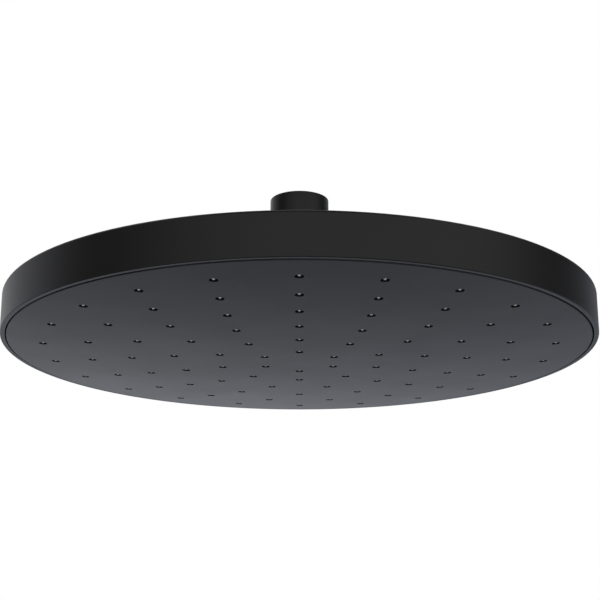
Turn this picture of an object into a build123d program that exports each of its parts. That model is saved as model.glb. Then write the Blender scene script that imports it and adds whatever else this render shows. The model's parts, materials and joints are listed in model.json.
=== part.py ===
"""Round rain shower head: a domed spray face in a slim shell, hung from a ball swivel with a G1/2 inlet.

Millimetres, +Z up, the shower axis on Z. Heights are worked out from the shell's bottom lip, and the
finished pieces are then lowered so that the origin lies where the inlet thread begins.
"""

import math
import os

from build123d import *

# Shell and spray face
head_diameter = 250.0
rim_height = 17.1
shell_wall = 2.0
shell_top = 2.2
crown_rise = 4.0
lip_round = 0.45
crown_edge_round = 1.2
face_gap = 0.55
face_drop = 0.25
face_sag = 5.5
face_thickness = 2.4
face_edge_round = 0.35

# Nozzles, on rings about the shower axis
first_ring_radius = 16.77
ring_pitch = 18.14
first_ring_nozzles = 6
second_ring_nozzles = 10
nozzles_added_per_ring = 3
nozzle_hole_diameter = 3.5
tip_root_diameter = 2.3
tip_root_length = 0.6
tip_end_diameter = 1.05
tip_end_chamfer = 0.2
tip_recess = 0.2
jet_diameter = 0.5
mat_thickness = 1.6
mat_clearance = 0.05

# Water chamber between the mat and the chamber plate
plate_thickness = 2.5
spigot_wall = 3.0
spigot_clearance = 0.2
spigot_mat_gap = 0.1
seal_wall = 2.0
seal_wall_inset = 10.0
chamber_seal_section = 2.0
seal_groove_play = 0.5
seal_play = 0.05
flange_clearance = 0.4
ledge_width = 1.8
ledge_gap = 0.1
stiffening_ribs = 12
rib_thickness = 1.8
rib_headroom = 0.6

# Screws that close the chamber, round its edge and at the posts inside it
edge_screws = 12
post_screws = 6
screw_diameter = 2.6
screw_point_diameter = 1.0
screw_length = 8.0
screw_head_diameter = 5.4
screw_head_height = 1.8
screw_headroom = 0.6
screw_hole_clearance = 0.2
screw_thread_clearance = 0.05
boss_diameter = 5.2
boss_wall_overlap = 0.4
post_diameter = 8.0
post_clearance = 0.25
post_seal_section = 1.3
post_seal_play = 0.1

# Neck that carries the swivel, and the ring that clamps the shell on it
land_radius = 24.0
land_step = 0.6
neck_wall = 2.45
neck_shoulder = 3.5
neck_floor = 3.0
neck_clearance = 0.2
gasket_width = 5.8
gasket_thickness = 1.0
lock_ring_width = 6.3
lock_ring_thickness = 4.0
lock_ring_notches = 6
notch_width = 4.0
notch_depth = 1.8

# Ball swivel
tilt_limit = 15.0
ball_diameter = 21.0
ball_clearance = 0.15
seat_thickness = 1.75
seat_low_angle = 50.0
seat_tilt_margin = 2.0
ball_seal_section = 1.9
ball_seal_height = 1.6
mouth_angle = 35.0
mouth_clearance = 0.5
waist_wall = 1.8
ball_end_wall = 1.2
nut_skirt = 7.4
nut_gap = 0.6
nut_wall = 2.85
nut_clearance = 0.15
nut_lip = 2.4
nut_lip_setback = 1.2
nut_flare = 1.4
nut_edge_chamfer = 0.8
nut_across_flats = 33.4
stop_clearance = 0.3

# Inlet stem, with the filter washer and flow regulator that it holds
inlet_diameter = 25.5
inlet_height = 19.9
inlet_edge_round = 0.5
thread_minor_diameter = 18.63
thread_lead_in = 1.0
thread_length = 10.0
relief_length = 2.6
relief_diameter = 21.1
regulator_diameter = 15.7
regulator_height = 4.4
regulator_clearance = 0.15
regulator_wall = 1.5
regulator_floor = 1.2
regulator_core_diameter = 5.2
regulator_core_recess = 0.6
regulator_ports = 8
regulator_port_diameter = 1.1
regulator_ring_section = 2.0
regulator_ring_play = 0.05
washer_clearance = 0.15
washer_thickness = 2.4
washer_bore_diameter = 11.8
screen_thickness = 0.5
screen_grip = 0.8
screen_play = 0.05
screen_hole = 1.25
screen_pitch = 1.8

# Radii that follow from the sizes above
head_radius = head_diameter / 2
shell_inner_radius = head_radius - shell_wall
face_radius = shell_inner_radius - face_gap
seal_bore_radius = shell_inner_radius - seal_wall_inset
spigot_radius = seal_bore_radius - spigot_clearance
spigot_inner_radius = spigot_radius - spigot_wall
edge_screw_circle = seal_bore_radius + seal_wall + boss_diameter / 2 - boss_wall_overlap
flange_radius = shell_inner_radius - flange_clearance
ledge_radius = shell_inner_radius - ledge_width
post_circle = first_ring_radius + 1.5 * ring_pitch

ball_radius = ball_diameter / 2
seat_inner_radius = ball_radius + ball_clearance
seat_outer_radius = seat_inner_radius + seat_thickness
socket_radius = seat_outer_radius + ball_clearance
neck_radius = socket_radius + neck_wall
nut_bore_radius = neck_radius + nut_clearance
nut_radius = nut_bore_radius + nut_wall
inlet_radius = inlet_diameter / 2

# The upper seat's mouth, and the widest stem waist that swings in it to the tilt limit
tilt = math.radians(tilt_limit)
mouth_radius = seat_inner_radius * math.cos(math.radians(mouth_angle))
mouth_height = seat_inner_radius * math.sin(math.radians(mouth_angle))
waist_radius = (mouth_radius - mouth_clearance - mouth_height * math.tan(tilt)) * math.cos(tilt)
water_way_radius = waist_radius - waist_wall
ball_end_radius = water_way_radius + ball_end_wall
ball_end_height = -math.sqrt(ball_radius**2 - ball_end_radius**2)
passage_radius = ball_end_radius

# Spheres that the domed face and the crowned shell top lie on, both centred on the shower axis
face_sphere = (face_radius**2 + face_sag**2) / (2 * face_sag)
face_sphere_z = face_sphere - face_sag - face_drop
crown_sphere = (head_radius**2 + crown_rise**2) / (2 * crown_rise)
crown_sphere_z = rim_height + crown_rise - crown_sphere


def face_z(radius, depth=0.0):
    """Height of the surface that lies depth inside the spray face, at a radius from the axis."""
    return face_sphere_z - math.sqrt((face_sphere - depth) ** 2 - radius**2)


def crown_z(radius, depth=0.0):
    """Height of the surface that lies depth under the shell's crowned top, at a radius from the axis."""
    return crown_sphere_z + math.sqrt((crown_sphere - depth) ** 2 - radius**2)


# Where the rounded edges of the face and of the shell's top leave the spheres, and the walls beside them
face_edge_radius = (face_radius - face_edge_round) * face_sphere / (face_sphere - face_edge_round)
face_edge_z = face_z(face_radius - face_edge_round, face_edge_round)
crown_edge_radius = (head_radius - crown_edge_round) * crown_sphere / (crown_sphere - crown_edge_round)
crown_edge_z = crown_z(head_radius - crown_edge_round, crown_edge_round)

# Heights, from the shell's bottom lip upwards
mat_bottom_depth = face_thickness + mat_clearance
mat_top_depth = mat_bottom_depth + mat_thickness
flange_top = crown_z(flange_radius, shell_top) - screw_headroom - screw_head_height
plate_bottom = flange_top - plate_thickness
spigot_bottom = face_z(spigot_radius, mat_top_depth) + spigot_mat_gap
land_top = crown_z(0) + land_step
land_bottom = land_top - land_step - shell_top
gasket_top = land_top + gasket_thickness
lock_ring_top = gasket_top + lock_ring_thickness
nut_bottom = lock_ring_top + nut_gap
ball_z = nut_bottom + nut_skirt
upper_seat_top = ball_z + mouth_height
nut_top = upper_seat_top + ball_clearance + nut_lip
stop_height = (nut_top - ball_z + stop_clearance + inlet_radius * math.sin(tilt)) / math.cos(tilt)
inlet_bottom = ball_z + stop_height
inlet_top = inlet_bottom + inlet_height
thread_start = inlet_top - thread_lead_in
relief_top = thread_start - thread_length
washer_seat = relief_top - relief_length
regulator_seat = washer_seat - regulator_height - regulator_clearance


def at(radius, height):
    """A point of a turned profile, in the XZ plane."""
    return (radius, 0, height)


def turned(*points):
    """A solid turned about the shower axis from a closed profile of (radius, height) corners."""
    corners = [at(radius, height) for radius, height in points]
    return revolve(make_face(Polyline(*corners, close=True)), Axis.Z)


def turned_edges(*edges):
    """A solid turned about the shower axis from the edges of a closed profile."""
    return revolve(make_face(list(edges)), Axis.Z)


def run(*points):
    """The straight edges of a profile through (radius, height) corners."""
    return Polyline(*[at(radius, height) for radius, height in points]).edges()


def sphere_arc(radius, centre_z, start_radius, end_radius, below):
    """A profile arc of a sphere centred on the axis, between two distances from the axis."""
    side = -1 if below else 1

    def on_arc(distance):
        return at(distance, centre_z + side * math.sqrt(radius**2 - distance**2))

    middle = (start_radius + end_radius) / 2
    return ThreePointArc(on_arc(start_radius), on_arc(middle), on_arc(end_radius))


def round_off(start, corner, end):
    """A profile arc that rounds a square corner, tangent to both sides of it."""
    centre = (start[0] + end[0] - corner[0], start[1] + end[1] - corner[1])
    reach = math.dist(centre, start) / math.dist(centre, corner)
    middle = (centre[0] + reach * (corner[0] - centre[0]), centre[1] + reach * (corner[1] - centre[1]))
    return ThreePointArc(at(*start), at(*middle), at(*end))


def eased_edge(wall, sphere, upward):
    """A profile arc that leaves an upright wall upward or downward and meets a sphere."""
    return TangentArc(at(*wall), at(*sphere), tangent=(0, 0, 1 if upward else -1))


def o_ring(centre_radius, section, height):
    """A round seal of a cord section, lying level about the shower axis."""
    return Pos(0, 0, height) * Torus(centre_radius, section / 2)


def on_circle(radius, count, first_angle=0.0):
    """Points spread evenly on a circle about the axis. Angle 0 is towards -Y."""
    step = 2 * math.pi / count
    angles = [math.radians(first_angle) + step * k for k in range(count)]
    return [(radius * math.sin(a), -radius * math.cos(a)) for a in angles]


def nozzle_points():
    """The nozzles' places: one on each ring faces -Y, and rings stop short of the chamber's spigot."""
    points = []
    outermost = spigot_inner_radius - nozzle_hole_diameter / 2
    rings = 1 + int((outermost - first_ring_radius) // ring_pitch)
    for ring in range(rings):
        count = first_ring_nozzles
        if ring:
            count = second_ring_nozzles + nozzles_added_per_ring * (ring - 1)
        points += on_circle(first_ring_radius + ring_pitch * ring, count)
    return points


# Screws stand halfway between the chamber plate's ribs, the posts at every other gap
rib_step = 360 / stiffening_ribs
nozzles = nozzle_points()
edge_points = on_circle(edge_screw_circle, edge_screws, rib_step / 2)
post_points = on_circle(post_circle, post_screws, rib_step / 2)
screw_points = edge_points + post_points


def upright(radius, points, bottom, top):
    """Upright cylinders at points, from a bottom height to a top height."""
    return [Pos(x, y, (bottom + top) / 2) * Cylinder(radius, top - bottom) for x, y in points]


def face_plate():
    """Domed spray plate: nozzle holes, a wall for the chamber seal, and bosses and posts for the screws."""
    wall_radius = seal_bore_radius + seal_wall
    plate = turned_edges(
        sphere_arc(face_sphere, face_sphere_z, 0, face_edge_radius, below=True),
        eased_edge((face_radius, face_edge_z), (face_edge_radius, face_z(face_edge_radius)), upward=False),
        *run((face_radius, face_edge_z), (face_radius, face_z(face_radius, face_thickness))),
        sphere_arc(face_sphere - face_thickness, face_sphere_z, face_radius, wall_radius, below=True),
        *run(
            (wall_radius, face_z(wall_radius, face_thickness)),
            (wall_radius, plate_bottom),
            (seal_bore_radius, plate_bottom),
            (seal_bore_radius, face_z(seal_bore_radius, face_thickness)),
        ),
        sphere_arc(face_sphere - face_thickness, face_sphere_z, seal_bore_radius, 0, below=True),
        *run((0, face_z(0, face_thickness)), (0, face_z(0))),
    )
    boss_foot = face_z(edge_screw_circle) + face_thickness / 2
    post_foot = face_z(post_circle) + face_thickness / 2
    plate += upright(boss_diameter / 2, edge_points, boss_foot, plate_bottom)
    plate += upright(post_diameter / 2, post_points, post_foot, plate_bottom)
    pilot_radius = screw_diameter / 2 + screw_thread_clearance
    pilot_bottom = flange_top - screw_length - screw_thread_clearance
    plate -= upright(pilot_radius, screw_points, pilot_bottom, flange_top)
    plate -= upright(nozzle_hole_diameter / 2, nozzles, -2 * face_sag, plate_bottom)
    return plate


def nozzle_tip():
    """One moulded nozzle about its own axis, its end at height 0, tapering down from a straight root."""
    sheet = face_thickness + mat_clearance - tip_recess
    end = tip_end_diameter / 2
    root = tip_root_diameter / 2
    return turned(
        (0, 0),
        (end - tip_end_chamfer, 0),
        (end, tip_end_chamfer),
        (root, sheet - tip_root_length),
        (root, sheet + mat_thickness / 2),
        (0, sheet + mat_thickness / 2),
    )


def nozzle_mat():
    """Silicone mat inside the face: one sheet with a bored tip that ends just inside every nozzle hole."""
    mat_radius = spigot_radius
    bottom_sphere = face_sphere - mat_bottom_depth
    top_sphere = face_sphere - mat_top_depth
    mat = turned_edges(
        sphere_arc(bottom_sphere, face_sphere_z, 0, mat_radius, below=True),
        *run(
            (mat_radius, face_z(mat_radius, mat_bottom_depth)),
            (mat_radius, face_z(mat_radius, mat_top_depth)),
        ),
        sphere_arc(top_sphere, face_sphere_z, mat_radius, 0, below=True),
        *run((0, face_z(0, mat_top_depth)), (0, face_z(0, mat_bottom_depth))),
    )
    tip = nozzle_tip()
    mat += [Pos(x, y, face_z(math.hypot(x, y)) + tip_recess) * tip for x, y in nozzles]
    mat -= upright(jet_diameter / 2, nozzles, -2 * face_sag, plate_bottom)
    mat -= upright(post_diameter / 2 + post_clearance, post_points, -2 * face_sag, plate_bottom)
    return mat


def stiffening_rib():
    """One radial rib on the chamber plate, its top following the shell's inside."""
    inner = neck_radius
    outer = seal_bore_radius
    foot = flange_top - plate_thickness / 2
    profile = make_face(
        Polyline(
            at(inner, foot),
            at(outer, foot),
            at(outer, crown_z(outer, shell_top) - rib_headroom),
            at(inner, min(crown_z(inner, shell_top) - rib_headroom, land_bottom - rib_headroom)),
            close=True,
        )
    )
    return extrude(profile, amount=rib_thickness / 2, both=True)


def chamber_plate():
    """Top of the water chamber, with the sealed spigot under it and the swivel's neck and socket above."""
    groove_top = (spigot_bottom + plate_bottom + chamber_seal_section + seal_groove_play) / 2
    groove_bottom = groove_top - chamber_seal_section - seal_groove_play
    groove_radius = spigot_radius - chamber_seal_section + spigot_clearance - 2 * seal_play
    shoulder_radius = neck_radius + neck_shoulder
    cavity_radius = neck_radius - neck_wall
    socket_bottom = ball_z - math.sqrt(socket_radius**2 - passage_radius**2)
    neck_top = upper_seat_top - nut_clearance
    plate = turned_edges(
        *run(
            (cavity_radius, plate_bottom),
            (spigot_inner_radius, plate_bottom),
            (spigot_inner_radius, spigot_bottom),
            (spigot_radius, spigot_bottom),
            (spigot_radius, groove_bottom),
            (groove_radius, groove_bottom),
            (groove_radius, groove_top),
            (spigot_radius, groove_top),
            (spigot_radius, plate_bottom),
            (flange_radius, plate_bottom),
            (flange_radius, flange_top),
            (shoulder_radius, flange_top),
            (shoulder_radius, land_bottom),
            (neck_radius, land_bottom),
            (neck_radius, neck_top),
            (socket_radius, neck_top),
            (socket_radius, ball_z),
        ),
        sphere_arc(socket_radius, ball_z, socket_radius, passage_radius, below=True),
        *run(
            (passage_radius, socket_bottom),
            (passage_radius, socket_bottom - neck_floor),
            (cavity_radius, socket_bottom - neck_floor),
            (cavity_radius, plate_bottom),
        ),
    )
    rib = stiffening_rib()
    plate += [Rot(0, 0, rib_step * k - 90) * rib for k in range(stiffening_ribs)]
    plate -= turned(
        (0, plate_bottom),
        (cavity_radius, plate_bottom),
        (cavity_radius, flange_top),
        (0, flange_top),
    )
    hole_radius = (screw_diameter + screw_hole_clearance) / 2
    plate -= upright(hole_radius, screw_points, spigot_bottom, flange_top + screw_head_height)
    groove = post_seal_section + post_seal_play
    plate -= upright(hole_radius + groove, post_points, plate_bottom, plate_bottom + groove)
    return plate


def chamber_seal():
    """Round seal in the spigot's groove, against the face plate's wall."""
    middle = (spigot_bottom + plate_bottom) / 2
    return o_ring(seal_bore_radius - seal_play - chamber_seal_section / 2, chamber_seal_section, middle)


def post_seals():
    """One small round seal about each post screw, in the chamber plate's counterbore."""
    radius = (screw_diameter + screw_hole_clearance + post_seal_section) / 2 + post_seal_play / 2
    height = plate_bottom + post_seal_section / 2 + post_seal_play / 2
    ring = o_ring(radius, post_seal_section, height)
    return Part() + [Pos(x, y, 0) * ring for x, y in post_points]


def chamber_screws():
    """Pan-head screws down through the chamber plate into the face plate's bosses and posts."""
    shank = screw_diameter / 2
    head = screw_head_diameter / 2
    screw = turned(
        (0, -screw_length),
        (screw_point_diameter / 2, -screw_length),
        (shank, -screw_length + shank),
        (shank, 0),
        (head, 0),
        (head, screw_head_height / 2),
        (head - screw_head_height / 2, screw_head_height),
        (0, screw_head_height),
    )
    return Part() + [Pos(x, y, flange_top) * screw for x, y in screw_points]


def back_shell():
    """One-piece outer shell: the straight rim with its bottom lip, and the crowned top with its land."""
    hole_radius = neck_radius + neck_clearance
    inner_crown = crown_sphere - shell_top
    ledge_bottom = flange_top + ledge_gap
    lip_radius = head_radius - lip_round
    return turned_edges(
        sphere_arc(crown_sphere, crown_sphere_z, crown_edge_radius, land_radius, below=False),
        *run(
            (land_radius, crown_z(land_radius)),
            (land_radius, land_top),
            (hole_radius, land_top),
            (hole_radius, land_bottom),
            (land_radius, land_bottom),
            (land_radius, crown_z(land_radius, shell_top)),
        ),
        sphere_arc(inner_crown, crown_sphere_z, land_radius, ledge_radius, below=False),
        *run(
            (ledge_radius, crown_z(ledge_radius, shell_top)),
            (ledge_radius, ledge_bottom),
            (shell_inner_radius, ledge_bottom),
            (shell_inner_radius, 0),
            (lip_radius, 0),
        ),
        round_off((lip_radius, 0), (head_radius, 0), (head_radius, lip_round)),
        *run((head_radius, lip_round), (head_radius, crown_edge_z)),
        eased_edge((head_radius, crown_edge_z), (crown_edge_radius, crown_z(crown_edge_radius)), upward=True),
    )


def shell_gasket():
    """Flat gasket between the lock ring and the shell's land."""
    inner = neck_radius + neck_clearance
    return turned(
        (inner, land_top),
        (inner + gasket_width, land_top),
        (inner + gasket_width, gasket_top),
        (inner, gasket_top),
    )


def lock_ring():
    """Notched ring nut on the neck, which clamps the shell to the neck's shoulder."""
    inner = neck_radius + nut_clearance
    outer = inner + lock_ring_width
    ring = turned((inner, gasket_top), (outer, gasket_top), (outer, lock_ring_top), (inner, lock_ring_top))
    ring = chamfer(ring.edges().filter_by(GeomType.CIRCLE).group_by(SortBy.RADIUS)[-1], nut_edge_chamfer / 2)
    middle = (gasket_top + lock_ring_top) / 2
    notch = Pos(outer, 0, middle) * Box(2 * notch_depth, notch_width, 2 * lock_ring_thickness)
    return ring - [Rot(0, 0, 360 / lock_ring_notches * k) * notch for k in range(lock_ring_notches)]


def union_nut():
    """Nut on the neck with two wrench flats, whose top lip holds the upper seat down on the ball."""
    lip_bottom = nut_top - nut_lip
    mouth = mouth_radius + nut_lip_setback
    nut = turned(
        (nut_bore_radius, nut_bottom),
        (nut_radius - nut_edge_chamfer, nut_bottom),
        (nut_radius, nut_bottom + nut_edge_chamfer),
        (nut_radius, nut_top - nut_edge_chamfer),
        (nut_radius - nut_edge_chamfer, nut_top),
        (mouth + nut_flare, nut_top),
        (mouth, lip_bottom),
        (nut_bore_radius, lip_bottom),
    )
    flat = Box(4 * nut_radius, nut_radius, 4 * (nut_top - nut_bottom))
    offset = (nut_across_flats + nut_radius) / 2
    return nut - [Pos(0, side * offset, ball_z) * flat for side in (-1, 1)]


def upper_seat():
    """Ring above the ball, its inside a zone of a sphere, which slides on the ball as the head tilts."""
    bottom = ball_seal_height + ball_seal_section / 2 + ball_clearance
    low_radius = math.sqrt(seat_inner_radius**2 - bottom**2)
    return turned_edges(
        sphere_arc(seat_inner_radius, ball_z, low_radius, mouth_radius, below=False),
        *run(
            (mouth_radius, upper_seat_top),
            (seat_outer_radius, upper_seat_top),
            (seat_outer_radius, ball_z + bottom),
            (low_radius, ball_z + bottom),
        ),
    )


def ball_seal():
    """Round seal between the ball and the neck's bore, just above the ball's middle."""
    radius = socket_radius - ball_clearance / 2 - ball_seal_section / 2
    return o_ring(radius, ball_seal_section, ball_z + ball_seal_height)


def ball_seat():
    """Lower seat: a zone of a thin hollow sphere that floats between the ball and the neck's socket."""
    high = math.radians(tilt_limit + seat_tilt_margin)
    low = math.radians(seat_low_angle)

    def corner(radius, angle):
        return (radius * math.cos(angle), ball_z - radius * math.sin(angle))

    inner_high = corner(seat_inner_radius, high)
    outer_high = corner(seat_outer_radius, high)
    inner_low = corner(seat_inner_radius, low)
    outer_low = corner(seat_outer_radius, low)
    return turned_edges(
        sphere_arc(seat_inner_radius, ball_z, inner_high[0], inner_low[0], below=True),
        *run(inner_low, outer_low),
        sphere_arc(seat_outer_radius, ball_z, outer_low[0], outer_high[0], below=True),
        *run(outer_high, inner_high),
    )


def inlet_stem():
    """Inlet socket, waist and ball in one turned piece, with the water way through it."""
    waist_height = math.sqrt(ball_radius**2 - waist_radius**2)
    thread_radius = thread_minor_diameter / 2
    regulator_bore = regulator_diameter / 2 + regulator_clearance
    rim_radius = inlet_radius - inlet_edge_round
    rim_low = inlet_bottom + inlet_edge_round
    rim_high = inlet_top - inlet_edge_round
    return turned_edges(
        *run(
            (water_way_radius, ball_z + ball_end_height),
            (ball_end_radius, ball_z + ball_end_height),
        ),
        ThreePointArc(
            at(ball_end_radius, ball_z + ball_end_height),
            at(ball_radius, ball_z),
            at(waist_radius, ball_z + waist_height),
        ),
        *run(
            (waist_radius, ball_z + waist_height),
            (waist_radius, inlet_bottom),
            (rim_radius, inlet_bottom),
        ),
        round_off((rim_radius, inlet_bottom), (inlet_radius, inlet_bottom), (inlet_radius, rim_low)),
        *run((inlet_radius, rim_low), (inlet_radius, rim_high)),
        round_off((inlet_radius, rim_high), (inlet_radius, inlet_top), (rim_radius, inlet_top)),
        *run(
            (rim_radius, inlet_top),
            (thread_radius + thread_lead_in, inlet_top),
            (thread_radius, thread_start),
            (thread_radius, relief_top),
            (relief_diameter / 2, relief_top),
            (relief_diameter / 2, washer_seat),
            (regulator_bore, washer_seat),
            (regulator_bore, regulator_seat),
            (water_way_radius, regulator_seat),
            (water_way_radius, ball_z + ball_end_height),
        ),
    )


def regulator_body():
    """Flow regulator's cup: a core in the middle, and ports through its floor under the rubber ring."""
    outer = regulator_diameter / 2
    core = regulator_core_diameter / 2
    floor_top = regulator_seat + regulator_floor
    top = regulator_seat + regulator_height
    body = turned(
        (0, regulator_seat),
        (outer, regulator_seat),
        (outer, top),
        (outer - regulator_wall, top),
        (outer - regulator_wall, floor_top),
        (core, floor_top),
        (core, top - regulator_core_recess),
        (0, top - regulator_core_recess),
    )
    ports = on_circle(core + regulator_port_diameter / 2, regulator_ports)
    return body - upright(regulator_port_diameter / 2, ports, regulator_seat - regulator_floor, top)


def regulator_ring():
    """Rubber ring in the flow regulator, which swells over the ports as the pressure rises."""
    outer = regulator_diameter / 2 - regulator_wall - regulator_ring_play
    height = regulator_seat + regulator_floor + regulator_ring_play + regulator_ring_section / 2
    return o_ring(outer - regulator_ring_section / 2, regulator_ring_section, height)


def inlet_washer():
    """Sealing washer at the bottom of the inlet thread, grooved inside to grip the screen."""
    outer = thread_minor_diameter / 2 - washer_clearance
    inner = washer_bore_diameter / 2
    grip = inner + screen_grip + screen_play
    middle = washer_seat + washer_thickness / 2
    half = screen_thickness / 2 + screen_play
    return turned(
        (inner, washer_seat),
        (outer, washer_seat),
        (outer, washer_seat + washer_thickness),
        (inner, washer_seat + washer_thickness),
        (inner, middle + half),
        (grip, middle + half),
        (grip, middle - half),
        (inner, middle - half),
    )


def inlet_screen():
    """Thin filter disc held in the washer, with a square grid of holes."""
    middle = washer_seat + washer_thickness / 2
    clear_radius = washer_bore_diameter / 2
    disc = Pos(0, 0, middle) * Cylinder(clear_radius + screen_grip, screen_thickness)
    reach = int(clear_radius // screen_pitch)
    grid = [screen_pitch * k for k in range(-reach, reach + 1)]
    corner = screen_hole / 2
    hole = Box(screen_hole, screen_hole, 4 * screen_thickness)
    places = [(x, y) for x in grid for y in grid]
    inside = [(x, y) for x, y in places if math.hypot(abs(x) + corner, abs(y) + corner) < clear_radius]
    return disc - [Pos(x, y, middle) * hole for x, y in inside]


PIECES = (
    face_plate,
    nozzle_mat,
    chamber_plate,
    chamber_seal,
    post_seals,
    chamber_screws,
    back_shell,
    shell_gasket,
    lock_ring,
    union_nut,
    upper_seat,
    ball_seal,
    ball_seat,
    inlet_stem,
    regulator_body,
    regulator_ring,
    inlet_washer,
    inlet_screen,
)

os.makedirs("parts", exist_ok=True)
for piece in PIECES:
    export_step(Pos(0, 0, -thread_start) * piece(), f"parts/{piece.__name__}.step")
print(f"lip at {-thread_start:.2f}, ball centre at {ball_z - thread_start:.3f}, nozzles {len(nozzles)}")
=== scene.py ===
"""Looks of a round rain shower head: satin black mouldings, silicone nozzles and a threaded inlet.

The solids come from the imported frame, in metres, with the origin where the inlet thread begins. This
file gives each of them its finish, cuts the inlet's thread, weaves its filter and sets the studio.
"""

import json
import math
from collections import namedtuple

import bpy
import numpy as np
from bpy.props import FloatProperty, FloatVectorProperty, IntProperty, PointerProperty
from bpy.types import Operator, Panel, PropertyGroup
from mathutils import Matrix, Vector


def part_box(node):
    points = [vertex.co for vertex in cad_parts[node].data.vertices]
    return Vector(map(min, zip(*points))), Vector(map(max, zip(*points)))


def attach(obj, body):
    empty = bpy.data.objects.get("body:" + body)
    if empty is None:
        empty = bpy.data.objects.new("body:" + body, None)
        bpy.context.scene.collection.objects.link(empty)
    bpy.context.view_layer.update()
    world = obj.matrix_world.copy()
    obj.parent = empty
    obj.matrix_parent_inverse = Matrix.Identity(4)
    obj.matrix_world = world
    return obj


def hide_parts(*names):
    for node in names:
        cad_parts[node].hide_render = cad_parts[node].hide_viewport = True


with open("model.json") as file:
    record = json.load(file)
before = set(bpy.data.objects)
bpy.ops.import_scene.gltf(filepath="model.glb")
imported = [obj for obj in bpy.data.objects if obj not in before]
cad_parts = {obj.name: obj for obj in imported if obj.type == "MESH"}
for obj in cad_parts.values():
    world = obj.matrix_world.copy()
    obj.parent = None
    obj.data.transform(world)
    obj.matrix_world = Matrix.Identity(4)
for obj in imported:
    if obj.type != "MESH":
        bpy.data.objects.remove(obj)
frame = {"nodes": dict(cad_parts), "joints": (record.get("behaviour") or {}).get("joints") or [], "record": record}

bl_info = {
    "name": "Rain Shower Head",
    "version": (1, 0, 0),
    "blender": (4, 5, 0),
    "location": "View3D > Sidebar > Shower",
    "description": "Finishes, thread, filter and studio for a rain shower head",
    "category": "Object",
}

MM = 0.001
CREASE_ANGLE = math.radians(35)
SENSOR_WIDTH = 36.0

# Where the frame's pieces lie
SHELL_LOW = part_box("back_shell")[0]
STEM_LOW, STEM_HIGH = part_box("inlet_stem")
SCREEN_LOW, SCREEN_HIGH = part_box("inlet_screen")
WASHER_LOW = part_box("inlet_washer")[0]
REGULATOR_LOW, REGULATOR_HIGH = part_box("regulator_body")
BALL_Z = frame["joints"][0]["pos_m"][2]
THREAD_RADIUS = frame["record"]["mounts"][0]["dims"]["r_mm"] * MM
THREAD_LENGTH = frame["record"]["mounts"][0]["dims"]["length_mm"] * MM

# Panels of the light tent that the glossy surfaces mirror. Azimuth runs from the camera's side to the right
# and elevation up from level, in degrees. Brightness is the share of white, fading over the softness.
TentPanel = namedtuple("TentPanel", "azimuth half_width elevation half_height softness brightness colour")
TENT_PANELS = (
    # What the front of the rim mirrors
    TentPanel(32, 52, 14, 22, 8, 0.62, "ffffff"),
    TentPanel(-36, 20, 14, 22, 8, 0.38, "ffffff"),
    # What the rim's two ends mirror at a glancing angle
    TentPanel(-122, 26, 14, 24, 6, 0.38, "f9faff"),
    TentPanel(-165, 21, 14, 24, 6, 0.61, "f9faff"),
    TentPanel(156, 20, 14, 24, 6, 0.25, "e8ebff"),
    # What the spray face mirrors
    TentPanel(-175, 75, 1, 6, 4, 0.23, "eaf0ff"),
    TentPanel(-175, 75, -20, 21, 5, 0.31, "eaf0ff"),
    # What shows in views from above, from behind and from the sides
    TentPanel(180, 60, 45, 14, 7, 0.54, "ffffff"),
    TentPanel(15, 80, -24, 10, 4, 0.5, "ffffff"),
    TentPanel(-95, 30, 60, 10, 4, 1.0, "ffffff"),
    TentPanel(95, 30, 60, 10, 4, 0.8, "ffffff"),
    # Straight up and straight down
    TentPanel(0, 180, 90, 13, 5, 0.4, "ffffff"),
    TentPanel(0, 180, -90, 36, 8, 0.18, "ffffff"),
)


def linear(colour_code):
    """An sRGB hex colour, such as "1a1b1d", as linear red, green, blue and alpha."""
    channels = [int(colour_code[k : k + 2], 16) / 255 for k in (0, 2, 4)]
    straight = [c / 12.92 if c <= 0.04045 else ((c + 0.055) / 1.055) ** 2.4 for c in channels]
    return (*straight, 1.0)


def length_property(name, description, millimetres):
    """A length that a user can change, given in millimetres and kept in metres."""
    return FloatProperty(
        name=name,
        description=description,
        default=millimetres * MM,
        min=0.0,
        precision=5,
        subtype="DISTANCE",
        unit="LENGTH",
    )


def angle_property(name, description, degrees):
    """An angle that a user can change, given in degrees and kept in radians."""
    return FloatProperty(name=name, description=description, default=math.radians(degrees), subtype="ANGLE")


def share_property(name, description, share):
    """A share of one that a user can change."""
    return FloatProperty(
        name=name,
        description=description,
        default=share,
        min=0.0,
        max=1.0,
        subtype="FACTOR",
    )


def colour_property(name, description, colour_code):
    """A colour that a user can change, given as an sRGB hex value."""
    return FloatVectorProperty(
        name=name,
        description=description,
        default=linear(colour_code),
        size=4,
        min=0.0,
        max=1.0,
        subtype="COLOR",
    )


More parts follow.
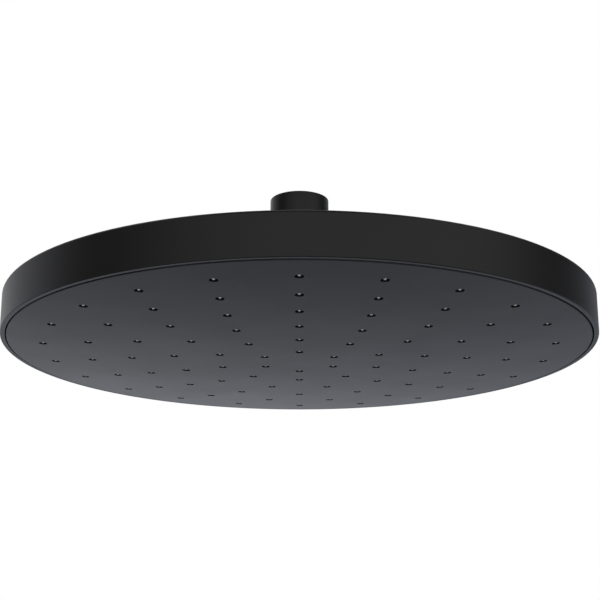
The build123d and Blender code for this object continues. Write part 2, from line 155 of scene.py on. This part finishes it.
class ShowerSizes(PropertyGroup):
    """Sizes of what is cut and woven here, beyond the frame's own."""

    thread_pitch: length_property("Thread pitch", "Rise of the inlet thread in one turn", 1.814)
    thread_depth: length_property("Thread depth", "From the thread's crest to its root", 1.162)
    inlet_round: length_property("Inlet edge", "Radius on the inlet socket's outer edges", 0.5)
    lead_in: length_property("Lead-in", "Height of the chamfer above the thread", 1.0)
    relief_radius: length_property("Relief radius", "Radius of the groove under the thread", 10.55)
    regulator_play: length_property("Regulator play", "Gap round the flow regulator in its bore", 0.15)
    inlet_bottom: length_property("Socket depth", "Depth of the socket's underside", 18.9)
    ball_radius: length_property("Ball radius", "Radius of the swivel's ball", 10.5)
    waist_radius: length_property("Waist radius", "Radius between the socket and the ball", 6.363)
    water_way: length_property("Water way", "Radius of the bore through the ball", 4.563)
    wire_gauge: length_property("Wire gauge", "Diameter of the filter's wire", 0.22)
    wire_spacing: length_property("Wire spacing", "From one wire of the filter to the next", 0.8)
    filter_rim: length_property("Filter rim", "Width of the ring pressed round the filter", 0.75)
    segments: IntProperty(name="Segments", description="Steps round a turned piece", default=192, min=24)


class ShowerColours(PropertyGroup):
    """Base colours of the finishes."""

    shell: colour_property("Shell", "Moulded shell", "131314")
    face: colour_property("Face", "Moulded spray face", "141416")
    silicone: colour_property("Silicone", "Nozzle mat", "b2b3b5")
    coating: colour_property("Coating", "Black coating on the brass", "131314")
    nylon: colour_property("Nylon", "Lock ring and chamber plate", "1d1d1e")
    rubber: colour_property("Rubber", "Seals and washers", "0f0f0f")
    acetal: colour_property("Acetal", "Swivel seats and regulator", "e6e4dd")
    steel: colour_property("Steel", "Screws and filter", "c9c8c5")


class StudioSettings(PropertyGroup):
    """Camera and light."""

    distance: length_property("Distance", "From the camera to the middle of the rim's lower edge", 578.56)
    below: angle_property("Below", "Angle of that line to level", 14.529)
    pitch: angle_property("Pitch", "How far the camera looks up", 16.507)
    aside: length_property("Aside", "How far the camera stands to the right", 0.245)
    edge_height: length_property("Edge height", "Rim's lower edge above the lip", 0.95)
    focal_length: FloatProperty(
        name="Focal length", description="On a sensor 36 mm wide", default=81.4, unit="CAMERA"
    )
    floor_drop: length_property("Floor drop", "From the lip down to the floor", 1300.0)
    floor_radius: length_property("Floor radius", "Radius of the floor", 6000.0)
    fade_start: share_property("Fade start", "Share of the floor's radius where it starts to fade", 0.2)
    fade_end: share_property("Fade end", "Share of the floor's radius where it has faded", 0.9)
    tent_radius: length_property("Tent radius", "From the head to the light tent", 2500.0)
    ambient: share_property("Ambient", "Brightness of the light from all round", 0.8)
    lamp_power: FloatProperty(
        name="Lamp power", description="Power of the overhead lamp", default=6.0, min=0.0, unit="POWER"
    )
    lamp_size: length_property("Lamp size", "Side of the overhead lamp", 900.0)
    lamp_place: FloatVectorProperty(
        name="Lamp place",
        description="Where the overhead lamp hangs",
        default=(-0.5, -0.4, 1.3),
        subtype="TRANSLATION",
        unit="LENGTH",
    )
    lamp_turn: FloatVectorProperty(
        name="Lamp turn",
        description="How the overhead lamp is turned to face the head",
        default=(math.radians(17), math.radians(-21), 0.0),
        subtype="EULER",
        unit="ROTATION",
    )
    floor: colour_property("Floor", "Pale studio floor", "f0f0f0")
    backdrop: colour_property("Backdrop", "Background that the camera sees", "ffffff")


def add_node(tree, kind, settings=None, links=None):
    """Adds a shader node, sets its fields and sockets, and links outputs into its sockets."""
    node = tree.nodes.new(kind)
    for key, value in (settings or {}).items():
        if isinstance(key, str) and hasattr(node, key):
            setattr(node, key, value)
        else:
            node.inputs[key].default_value = value
    for key, output in (links or {}).items():
        tree.links.new(output, node.inputs[key])
    return node


def new_material(name):
    """An empty node material and its tree."""
    material = bpy.data.materials.new(name)
    material.use_nodes = True
    material.node_tree.nodes.clear()
    return material, material.node_tree


def per_size(millimetres):
    """The scale at which a texture's features are about that size."""
    return 1.0 / (millimetres * MM)


def shaded(colour, share):
    """A colour made darker or lighter by a share of itself."""
    return (*(min(channel * share, 1.0) for channel in colour[:3]), 1.0)


def moulded(name, colour, roughness, grain, depth, ior=1.5, sway=0.012):
    """A moulded or coated finish: fine grain in relief and tone, and a gloss that drifts over the piece.

    Grain is the texture's size and depth its height, both in millimetres. The real grain is finer, about
    0.1 mm, and is drawn coarser so that it shows. Sway is how far the roughness drifts either way.
    """
    drift_size = 35.0
    tone_swing = 0.07
    # Noise seldom leaves this range
    noise_low = 0.3
    noise_high = 0.7
    material, tree = new_material(name)
    place = add_node(tree, "ShaderNodeTexCoord").outputs["Object"]
    grit = add_node(
        tree,
        "ShaderNodeTexNoise",
        {"Scale": per_size(grain), "Detail": 2.0, "Roughness": 0.6},
        {"Vector": place},
    )
    drift = add_node(
        tree,
        "ShaderNodeTexNoise",
        {"Scale": per_size(drift_size), "Detail": 2.0, "Roughness": 0.5},
        {"Vector": place},
    )
    gloss = add_node(
        tree,
        "ShaderNodeMapRange",
        {
            "From Min": noise_low,
            "From Max": noise_high,
            "To Min": roughness - sway,
            "To Max": roughness + sway,
        },
        {"Value": drift.outputs["Fac"]},
    )
    tone = add_node(
        tree,
        "ShaderNodeMix",
        {"data_type": "RGBA", 6: shaded(colour, 1 - tone_swing), 7: shaded(colour, 1 + tone_swing)},
        {0: grit.outputs["Fac"]},
    )
    relief = add_node(
        tree,
        "ShaderNodeBump",
        {"Strength": 1.0, "Distance": depth * MM},
        {"Height": grit.outputs["Fac"]},
    )
    surface = add_node(
        tree,
        "ShaderNodeBsdfPrincipled",
        {"IOR": ior},
        {
            "Base Color": tone.outputs[2],
            "Roughness": gloss.outputs["Result"],
            "Normal": relief.outputs["Normal"],
        },
    )
    add_node(tree, "ShaderNodeOutputMaterial", links={"Surface": surface.outputs["BSDF"]})
    return material


def stainless_steel(colour):
    """Drawn stainless steel: bright metal whose faint drawing marks break up the gloss."""
    mark_size = 0.6
    smoothest = 0.2
    roughest = 0.42
    material, tree = new_material("stainless_steel_drawn")
    place = add_node(tree, "ShaderNodeTexCoord").outputs["Object"]
    marks = add_node(
        tree,
        "ShaderNodeTexNoise",
        {"Scale": per_size(mark_size), "Detail": 3.0},
        {"Vector": place},
    )
    gloss = add_node(
        tree,
        "ShaderNodeMapRange",
        {"To Min": smoothest, "To Max": roughest},
        {"Value": marks.outputs["Fac"]},
    )
    surface = add_node(
        tree,
        "ShaderNodeBsdfPrincipled",
        {"Base Color": tuple(colour), "Metallic": 1.0},
        {"Roughness": gloss.outputs["Result"]},
    )
    add_node(tree, "ShaderNodeOutputMaterial", links={"Surface": surface.outputs["BSDF"]})
    return material


def dress(material, *nodes):
    """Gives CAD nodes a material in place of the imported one."""
    for node in nodes:
        frame["nodes"][node].material_slots[0].material = material


def grid_faces(rows, columns, closed_rows, closed_columns):
    """Quads of a grid of points numbered row by row, joined end to start where it is closed."""
    row = np.arange(rows if closed_rows else rows - 1)[:, None]
    column = np.arange(columns if closed_columns else columns - 1)[None, :]
    next_row = (row + 1) % rows
    next_column = (column + 1) % columns
    corners = [row * columns + column, row * columns + next_column]
    corners += [next_row * columns + next_column, next_row * columns + column]
    return np.stack(np.broadcast_arrays(*corners), axis=-1).reshape(-1, 4)


def new_mesh(name, points, faces, material):
    """An object at the origin with a smooth mesh of the given points and faces."""
    mesh = bpy.data.meshes.new(name)
    mesh.from_pydata(points.reshape(-1, 3), [], faces)
    mesh.shade_smooth()
    mesh.materials.append(material)
    made = bpy.data.objects.new(name, mesh)
    bpy.context.scene.collection.objects.link(made)
    return made


def new_piece(name, points, faces, material, body, slot, *nodes):
    """A mesh piece, creased at sharp edges, that rides on a body and stands for CAD nodes."""
    piece = new_mesh(name, points, faces, material)
    piece.data.set_sharp_from_angle(angle=CREASE_ANGLE)
    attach(piece, body)
    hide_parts(*nodes)
    return piece


def arc(centre, radius, start, end, steps):
    """Points of a profile arc: centre plus radius times (cos a, sin a), with a from start to end degrees."""
    angles = np.radians(np.linspace(start, end, steps))
    return np.stack([centre[0] + radius * np.cos(angles), centre[1] + radius * np.sin(angles)], axis=1)


def turned(profile, segments):
    """A profile of (radius, height) points carried round Z: points as (profile, round, xyz)."""
    angle = np.arange(segments) * 2 * math.pi / segments
    radius, height = profile[:, :1], profile[:, 1:]
    return np.stack(np.broadcast_arrays(radius * np.cos(angle), radius * np.sin(angle), height), axis=-1)


def stem_profile(sizes):
    """The stem's closed profile as (radius, height), and which of its points lie in the thread.

    It runs up the outside from the ball's lower end over the ball, waist and socket to the mouth, and then
    down the bore. The ball is an arc about the swivel's centre and the socket's edges are quarter arcs.
    """
    ball_steps = 40
    edge_steps = 7
    rows_per_turn = 14
    mouth = STEM_HIGH.z
    socket = STEM_HIGH.x
    edge = sizes.inlet_round
    floor = -sizes.inlet_bottom
    regulator_bore = REGULATOR_HIGH.x + sizes.regulator_play
    ball_low = math.degrees(math.asin((STEM_LOW.z - BALL_Z) / sizes.ball_radius))
    ball_high = math.degrees(math.acos(sizes.waist_radius / sizes.ball_radius))
    thread_rows = int(rows_per_turn * (THREAD_LENGTH + sizes.lead_in) / sizes.thread_pitch)
    outside = np.concatenate(
        [
            [(sizes.water_way, STEM_LOW.z)],
            arc((0, BALL_Z), sizes.ball_radius, ball_low, ball_high, ball_steps),
            [(sizes.waist_radius, floor)],
            arc((socket - edge, floor + edge), edge, -90, 0, edge_steps),
            arc((socket - edge, mouth - edge), edge, 0, 90, edge_steps),
        ]
    )
    heights = np.linspace(mouth, -THREAD_LENGTH, thread_rows)
    thread = np.stack([np.full(thread_rows, THREAD_RADIUS), heights], axis=1)
    inside = np.array(
        [
            (sizes.relief_radius, -THREAD_LENGTH),
            (sizes.relief_radius, WASHER_LOW.z),
            (regulator_bore, WASHER_LOW.z),
            (regulator_bore, REGULATOR_LOW.z),
            (sizes.water_way, REGULATOR_LOW.z),
        ]
    )
    in_thread = np.repeat([False, True, False], [len(outside), thread_rows, len(inside)])
    return np.concatenate([outside, thread, inside]), in_thread


def threaded_stem(sizes):
    """The stem's surface: its profile turned about Z, with a helix cut into the bore.

    In the thread the radius is crest + depth * (1 - cos(2 pi (z / pitch - turn))) / 2, and no less than the
    lead-in cone's crest + z above the thread's start.
    """
    profile, in_thread = stem_profile(sizes)
    turn = np.arange(sizes.segments) / sizes.segments
    radius, height = profile[:, :1], profile[:, 1:]
    helix = (1 - np.cos(2 * math.pi * (height / sizes.thread_pitch - turn))) / 2
    cut = THREAD_RADIUS + np.maximum(sizes.thread_depth * helix, height)
    points = turned(profile, sizes.segments)
    points[..., :2] *= np.where(in_thread[:, None], cut / radius, 1.0)[..., None]
    return points, grid_faces(len(profile), sizes.segments, True, True)


def woven_wires(sizes, middle, reach):
    """One way of a plain weave: round wires along X, each rising and falling over the crossing ones.

    Wire k lies at y = k * spacing, and its height is gauge / 2 * cos(pi * (x / spacing + k)). It ends on the
    circle of radius reach, where its section closes to a point. Returns points as (wire, along, around, xyz).
    """
    steps_per_crossing = 8
    sides = 8
    # The outermost wires stay at least half a spacing inside the circle
    count = int(reach / sizes.wire_spacing - 0.5)
    wire = np.arange(-count, count + 1)[:, None, None]
    along = np.linspace(-1, 1, steps_per_crossing * (2 * count + 1))
    section = np.full(len(along) + 2, sizes.wire_gauge / 2)
    section[[0, -1]] = 0.0
    along = np.concatenate([along[:1], along, along[-1:]])[None, :, None]
    around = np.arange(sides)[None, None, :] * 2 * math.pi / sides
    y = wire * sizes.wire_spacing
    x = along * np.sqrt(reach**2 - y**2)
    z = middle + sizes.wire_gauge / 2 * np.cos(math.pi * (x / sizes.wire_spacing + wire))
    thick = section[None, :, None]
    return np.stack(np.broadcast_arrays(x, y + thick * np.cos(around), z + thick * np.sin(around)), axis=-1)


def filter_mesh(sizes):
    """The filter disc: wires woven both ways, gripped at the edge by a flat pressed ring.

    The crossing wires are the first ones turned over about the line x = y, which keeps their faces outward.
    """
    reach = SCREEN_HIGH.x
    middle = (SCREEN_LOW.z + SCREEN_HIGH.z) / 2
    half = (SCREEN_HIGH.z - SCREEN_LOW.z) / 2
    wires = woven_wires(sizes, middle, reach - half)
    crossed = wires[..., (1, 0, 2)] * (1, 1, -1) + (0, 0, 2 * middle)
    inner = reach - sizes.filter_rim
    low, high = middle - half, middle + half
    ring = turned(np.array([(inner, low), (reach, low), (reach, high), (inner, high)]), sizes.segments)
    one_wire = grid_faces(wires.shape[1], wires.shape[2], False, True)
    starts = np.arange(2 * wires.shape[0]) * wires.shape[1] * wires.shape[2]
    wire_faces = (one_wire[None] + starts[:, None, None]).reshape(-1, 4)
    ring_faces = grid_faces(ring.shape[0], ring.shape[1], True, True) + 2 * wires.size // 3
    points = [wires.reshape(-1, 3), crossed.reshape(-1, 3), ring.reshape(-1, 3)]
    return np.concatenate(points), np.concatenate([wire_faces, ring_faces])


def backdrop_rays(tree):
    """One for rays that show the backdrop: the camera's own, mirrored ones and those through glass."""
    rays = add_node(tree, "ShaderNodeLightPath").outputs
    most = {"operation": "MAXIMUM"}
    seen = add_node(tree, "ShaderNodeMath", most, {0: rays["Is Camera Ray"], 1: rays["Is Glossy Ray"]})
    shown = add_node(tree, "ShaderNodeMath", most, {0: seen.outputs[0], 1: rays["Is Transmission Ray"]})
    return shown.outputs[0]


def pale_floor(studio):
    """A pale, nearly matt floor that takes the shadow, and that fades into the backdrop towards its edge."""
    blotch_size = 400.0
    smoothest = 0.7
    roughest = 0.8
    material, tree = new_material("pale_studio_floor")
    place = add_node(tree, "ShaderNodeTexCoord").outputs["Object"]
    blotch = add_node(
        tree,
        "ShaderNodeTexNoise",
        {"Scale": per_size(blotch_size), "Detail": 2.0},
        {"Vector": place},
    )
    gloss = add_node(
        tree,
        "ShaderNodeMapRange",
        {"To Min": smoothest, "To Max": roughest},
        {"Value": blotch.outputs["Fac"]},
    )
    surface = add_node(
        tree,
        "ShaderNodeBsdfPrincipled",
        {"Base Color": tuple(studio.floor)},
        {"Roughness": gloss.outputs["Result"]},
    )
    on_plan = add_node(tree, "ShaderNodeVectorMath", {"operation": "MULTIPLY", 1: (1, 1, 0)}, {0: place})
    reach = add_node(
        tree,
        "ShaderNodeVectorMath",
        {"operation": "LENGTH"},
        {0: on_plan.outputs["Vector"]},
    )
    fade = add_node(
        tree,
        "ShaderNodeMapRange",
        {
            "interpolation_type": "SMOOTHSTEP",
            "From Min": studio.fade_start * studio.floor_radius,
            "From Max": studio.fade_end * studio.floor_radius,
        },
        {"Value": reach.outputs["Value"]},
    )
    share = add_node(
        tree,
        "ShaderNodeMath",
        {"operation": "MULTIPLY"},
        {0: fade.outputs["Result"], 1: backdrop_rays(tree)},
    )
    backdrop = add_node(tree, "ShaderNodeEmission", {"Color": tuple(studio.backdrop), "Strength": 1.0})
    mixed = add_node(
        tree,
        "ShaderNodeMixShader",
        links={0: share.outputs[0], 1: surface.outputs["BSDF"], 2: backdrop.outputs["Emission"]},
    )
    add_node(tree, "ShaderNodeOutputMaterial", links={"Surface": mixed.outputs["Shader"]})
    return material


def lay_floor(studio):
    """A large level disc below the head."""
    segments = 96
    level = SHELL_LOW.z - studio.floor_drop
    rim = turned(np.array([(studio.floor_radius, level)]), segments)
    floor = new_mesh("studio_floor", rim, [list(range(segments))], pale_floor(studio))
    # Reflections see the tent in its place
    floor.visible_glossy = False


def soft_step(distance, half_width, softness):
    """One inside a half width and none outside it, fading as a logistic curve over the softness."""
    return 1 / (1 + np.exp((np.abs(distance) - half_width) / softness))


def tent_tones(azimuth, elevation):
    """The tent's colour by direction: the sum of every panel's colour within its soft edges both ways."""
    tones = np.zeros((*azimuth.shape, 4))
    for panel in TENT_PANELS:
        across = (azimuth - panel.azimuth + 180) % 360 - 180
        window = soft_step(across, panel.half_width, panel.softness)
        window = window * soft_step(elevation - panel.elevation, panel.half_height, panel.softness)
        tones += panel.brightness * window[..., None] * np.array(linear(panel.colour))
    tones[..., 3] = 1.0
    return tones


def tent_fabric():
    """Backlit fabric, which glows in the tone that the tent's mesh holds at each point."""
    material, tree = new_material("light_tent_fabric")
    tone = add_node(tree, "ShaderNodeAttribute", {"attribute_name": "tone"})
    glow = add_node(tree, "ShaderNodeEmission", links={"Color": tone.outputs["Color"]})
    add_node(tree, "ShaderNodeOutputMaterial", links={"Surface": glow.outputs["Emission"]})
    material.cycles.emission_sampling = "NONE"
    return material


def pitch_tent(studio):
    """A sphere of graded panels round the head, as in a photographer's light tent. Only reflections see it.

    The point at azimuth a and elevation e lies at radius * (cos e sin a, -cos e cos a, sin e).
    """
    columns = 120
    rows = 91
    azimuth, elevation = np.meshgrid(np.arange(columns) * 360 / columns, np.linspace(-90, 90, rows))
    turn = np.radians(azimuth)
    rise = np.radians(elevation)
    across = np.cos(rise)
    points = np.stack([across * np.sin(turn), -across * np.cos(turn), np.sin(rise)], axis=-1)
    points = points * studio.tent_radius + (0, 0, SHELL_LOW.z)
    tent = new_mesh("light_tent", points, grid_faces(rows, columns, False, True), tent_fabric())
    tones = tent.data.attributes.new("tone", "FLOAT_COLOR", "POINT")
    tones.data.foreach_set("color", tent_tones(azimuth, elevation).ravel())
    tent.visible_camera = False
    tent.visible_diffuse = False
    tent.visible_transmission = False
    tent.visible_shadow = False


def light_world(scene, studio):
    """Even light from all round, with a white backdrop for the camera and for reflections."""
    world = bpy.data.worlds.new("studio_world")
    world.use_nodes = True
    tree = world.node_tree
    tree.nodes.clear()
    white = (1.0, 1.0, 1.0, 1.0)
    ambient = add_node(tree, "ShaderNodeBackground", {"Color": white, "Strength": studio.ambient})
    backdrop = add_node(tree, "ShaderNodeBackground", {"Color": tuple(studio.backdrop), "Strength": 1.0})
    mixed = add_node(
        tree,
        "ShaderNodeMixShader",
        links={0: backdrop_rays(tree), 1: ambient.outputs["Background"], 2: backdrop.outputs["Background"]},
    )
    add_node(tree, "ShaderNodeOutputWorld", links={"Surface": mixed.outputs["Shader"]})
    scene.world = world


def hang_lamp(scene, studio):
    """One large soft lamp overhead and to the left, for the shadow on the floor."""
    light = bpy.data.lights.new("overhead_softbox", "AREA")
    light.energy = studio.lamp_power
    light.size = studio.lamp_size
    lamp = bpy.data.objects.new("overhead_softbox", light)
    lamp.location = studio.lamp_place
    lamp.rotation_euler = studio.lamp_turn
    lamp.visible_glossy = False
    scene.collection.objects.link(lamp)


def place_camera(scene, studio):
    """The camera in front of and below the head, looking up at it."""
    data = bpy.data.cameras.new("studio_camera")
    data.sensor_width = SENSOR_WIDTH
    data.lens = studio.focal_length
    data.clip_start = 10 * MM
    camera = bpy.data.objects.new("studio_camera", data)
    edge = SHELL_LOW.z + studio.edge_height
    level = studio.distance * math.cos(studio.below)
    camera.location = (studio.aside, -level, edge - studio.distance * math.sin(studio.below))
    camera.rotation_euler = (math.pi / 2 + studio.pitch, 0, 0)
    scene.collection.objects.link(camera)
    scene.camera = camera


class SHOWER_OT_shell(Operator):
    """Finish the moulded shell"""

    bl_idname = "shower.shell"
    bl_label = "Finish the Shell"

    def execute(self, context):
        colours = context.scene.shower_colours
        # Satin ABS from an etched mould: a soft sheen with a grain that only shows close to
        satin = moulded("satin_black_abs_shell", colours.shell, roughness=0.34, grain=0.5, depth=0.003)
        dress(satin, "back_shell")
        return {"FINISHED"}


class SHOWER_OT_spray_face(Operator):
    """Finish the spray face and its nozzles"""

    bl_idname = "shower.spray_face"
    bl_label = "Finish the Spray Face"

    def execute(self, context):
        colours = context.scene.shower_colours
        # The same ABS, from a mould of its own: the sheen of the shell in a slightly cooler black
        satin = moulded("satin_black_abs_face", colours.face, roughness=0.34, grain=0.5, depth=0.003)
        dress(satin, "face_plate")
        # Moulded silicone: soft, light grey and faintly greasy, so it stands out in the dark holes
        silicone = moulded(
            "light_grey_silicone", colours.silicone, roughness=0.42, grain=0.8, depth=0.002, ior=1.41
        )
        dress(silicone, "nozzle_mat")
        return {"FINISHED"}


class SHOWER_OT_inlet(Operator):
    """Cut the inlet's thread and weave its filter"""

    bl_idname = "shower.inlet"
    bl_label = "Build the Inlet"

    def execute(self, context):
        sizes = context.scene.shower_sizes
        colours = context.scene.shower_colours
        # Turned brass under an electrophoretic black coat: smooth, with very little grain
        coating = moulded("black_coated_brass", colours.coating, roughness=0.3, grain=0.9, depth=0.002)
        points, faces = threaded_stem(sizes)
        new_piece("inlet_stem_threaded", points, faces, coating, "connector", "coated_brass", "inlet_stem")
        dress(coating, "union_nut")
        steel = stainless_steel(colours.steel)
        points, faces = filter_mesh(sizes)
        new_piece("inlet_filter_weave", points, faces, steel, "connector", "stainless", "inlet_screen")
        dress(steel, "chamber_screws")
        return {"FINISHED"}


class SHOWER_OT_inner_pieces(Operator):
    """Finish the seals, seats and plates"""

    bl_idname = "shower.inner_pieces"
    bl_label = "Finish the Inner Pieces"

    def execute(self, context):
        colours = context.scene.shower_colours
        # Glass-filled nylon: dull, with a mottle from the fibres
        nylon = moulded(
            "glass_filled_nylon", colours.nylon, roughness=0.55, grain=0.7, depth=0.01, ior=1.53, sway=0.05
        )
        dress(nylon, "lock_ring", "chamber_plate")
        # Moulded rubber: dull and even
        rubber = moulded("black_epdm_rubber", colours.rubber, roughness=0.62, grain=0.6, depth=0.006)
        dress(rubber, "shell_gasket", "chamber_seal", "post_seals")
        dress(rubber, "ball_seal", "regulator_ring", "inlet_washer")
        # Machined acetal: a waxy off-white
        acetal = moulded("natural_acetal", colours.acetal, roughness=0.35, grain=1.2, depth=0.003, ior=1.48)
        dress(acetal, "ball_seat", "upper_seat", "regulator_body")
        return {"FINISHED"}


class SHOWER_OT_studio(Operator):
    """Set the floor, light and camera"""

    bl_idname = "shower.studio"
    bl_label = "Set the Studio"

    def execute(self, context):
        scene = context.scene
        studio = scene.shower_studio
        lay_floor(studio)
        pitch_tent(studio)
        light_world(scene, studio)
        hang_lamp(scene, studio)
        place_camera(scene, studio)
        scene.view_settings.view_transform = "Standard"
        return {"FINISHED"}


GROUPS = (ShowerSizes, ShowerColours, StudioSettings)
OPERATORS = (
    SHOWER_OT_shell,
    SHOWER_OT_spray_face,
    SHOWER_OT_inlet,
    SHOWER_OT_inner_pieces,
    SHOWER_OT_studio,
)


class SHOWER_PT_panel(Panel):
    """The shower head's pieces and studio"""

    bl_idname = "SHOWER_PT_panel"
    bl_label = "Rain Shower Head"
    bl_space_type = "VIEW_3D"
    bl_region_type = "UI"
    bl_category = "Shower"

    def draw(self, context):
        scene = context.scene
        for operator in OPERATORS:
            self.layout.operator(operator.bl_idname)
        for group in (scene.shower_sizes, scene.shower_colours, scene.shower_studio):
            box = self.layout.box()
            for name in group.__annotations__:
                box.prop(group, name)


CLASSES = (*GROUPS, *OPERATORS, SHOWER_PT_panel)


def register():
    """Adds the classes, and the settings that each scene holds."""
    for cls in CLASSES:
        bpy.utils.register_class(cls)
    bpy.types.Scene.shower_sizes = PointerProperty(type=ShowerSizes)
    bpy.types.Scene.shower_colours = PointerProperty(type=ShowerColours)
    bpy.types.Scene.shower_studio = PointerProperty(type=StudioSettings)


def unregister():
    """Takes away what register added, in reverse."""
    del bpy.types.Scene.shower_studio
    del bpy.types.Scene.shower_colours
    del bpy.types.Scene.shower_sizes
    for cls in reversed(CLASSES):
        bpy.utils.unregister_class(cls)


def main():
    """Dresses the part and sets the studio."""
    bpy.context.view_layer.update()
    register()
    bpy.ops.shower.shell()
    bpy.ops.shower.spray_face()
    bpy.ops.shower.inlet()
    bpy.ops.shower.inner_pieces()
    bpy.ops.shower.studio()


if __name__ == "__main__":
    main()
